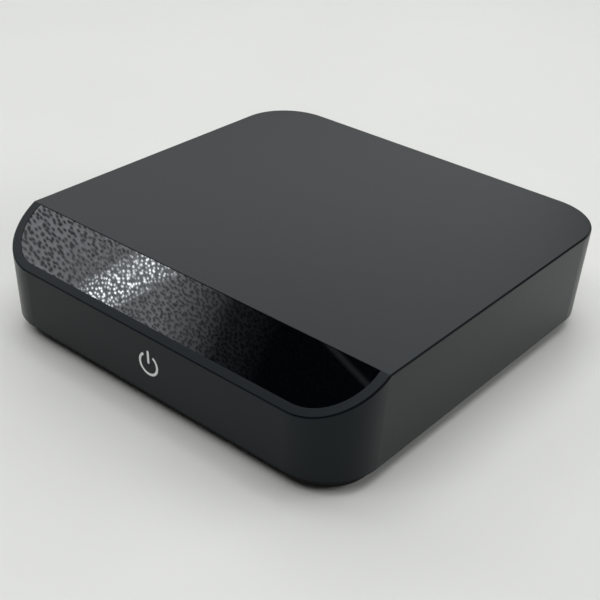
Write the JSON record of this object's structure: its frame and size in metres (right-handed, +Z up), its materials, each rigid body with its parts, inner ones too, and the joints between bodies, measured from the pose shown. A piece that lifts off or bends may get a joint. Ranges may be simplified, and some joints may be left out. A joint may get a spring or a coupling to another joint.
{
  "type": "network streamer",
  "caption": "Compact square network audio streamer with round corners, a sloped glossy touch panel, an inset base and a recessed bay of rear sockets.",
  "frame": {"origin": "on the floor, under the middle of the body", "axes": "+Z up, the sloped front faces -Y, the sockets face +Y, +X is to the right seen from the front"},
  "size_m": [0.143, 0.1425, 0.0365],
  "materials": {
    "housing_plastic": "soft-touch charcoal, fine matte",
    "panel_gloss": "polished black",
    "base_plastic": "moulded black, matte",
    "foot_rubber": "matte black",
    "rear_plastic": "fine-grained black",
    "screw_steel": "blackened steel",
    "socket_plastic": "black moulded plastic",
    "plated_steel": "tin-plated sheet",
    "gold_plate": "gold-plated contact",
    "nickel": "nickel-plated sleeve",
    "insert_white": "white moulded ring",
    "insert_red": "red moulded ring",
    "insert_orange": "orange moulded ring",
    "board": "green solder mask",
    "chip": "moulded epoxy",
    "aluminium": "extruded, satin",
    "pad": "soft grey pad",
    "clear_guide": "clear acrylic",
    "film": "printed polyester film",
    "ribbon": "white flat cable",
    "lead_jacket": "grey coaxial lead",
    "emitter": "red lens",
    "led": "white diode"
  },
  "bodies": {
    "streamer": {"housing": "housing_plastic", "touch_panel": "panel_gloss", "touch_film": "film", "base_plate": "base_plastic", "rubber_feet": "foot_rubber", "base_screws": "screw_steel", "main_board": "board", "board_screws": "plated_steel", "rear_panel": "rear_plastic", "rear_panel_screws": "screw_steel", "ethernet_jack": "plated_steel", "ethernet_contacts": "gold_plate", "usb_port": "plated_steel", "usb_tongue": "socket_plastic", "optical_socket": "socket_plastic", "shutter_pin": "plated_steel", "shutter_spring": "plated_steel", "optical_emitter": "emitter", "coax_block": "socket_plastic", "analog_block": "socket_plastic", "coax_sleeve": "gold_plate", "analog_sleeves": "gold_plate", "coax_contact": "gold_plate", "analog_contacts": "gold_plate", "coax_insert": "insert_orange", "left_insert": "insert_white", "right_insert": "insert_red", "dc_jack": "socket_plastic", "dc_pin": "nickel", "touch_board": "board", "touch_board_screws": "plated_steel", "light_guide": "clear_guide", "touch_leds": "led", "proximity_sensor": "chip", "infrared_receiver": "chip", "touch_controller": "chip", "ribbon_socket_front": "led", "ribbon_socket_main": "led", "ribbon_cable": "ribbon", "processor": "chip", "thermal_pad": "pad", "heat_spreader": "aluminium", "memory_chips": "chip", "flash_chip": "chip", "power_chips": "chip", "audio_converter": "chip", "clock_crystals": "plated_steel", "regulator_coils": "chip", "filter_capacitors": "aluminium", "wireless_board": "board", "wireless_shield": "plated_steel", "antenna_left": "board", "antenna_right": "board", "antenna_lead_left": "lead_jacket", "antenna_lead_right": "lead_jacket"},
    "shutter": {"optical_shutter": "socket_plastic"}
  },
  "joints": [
    {"name": "shutter_swing", "type": "hinge", "parent": "streamer", "child": "shutter", "pos_m": [-0.00385, 0.0611, 0.0194], "axis": [-1, 0, 0], "range_deg": [0, 85], "stiffness_Nm_per_rad": 0.0002, "springref_deg": -17.19, "deforming": ["shutter_spring"]}
  ]
}
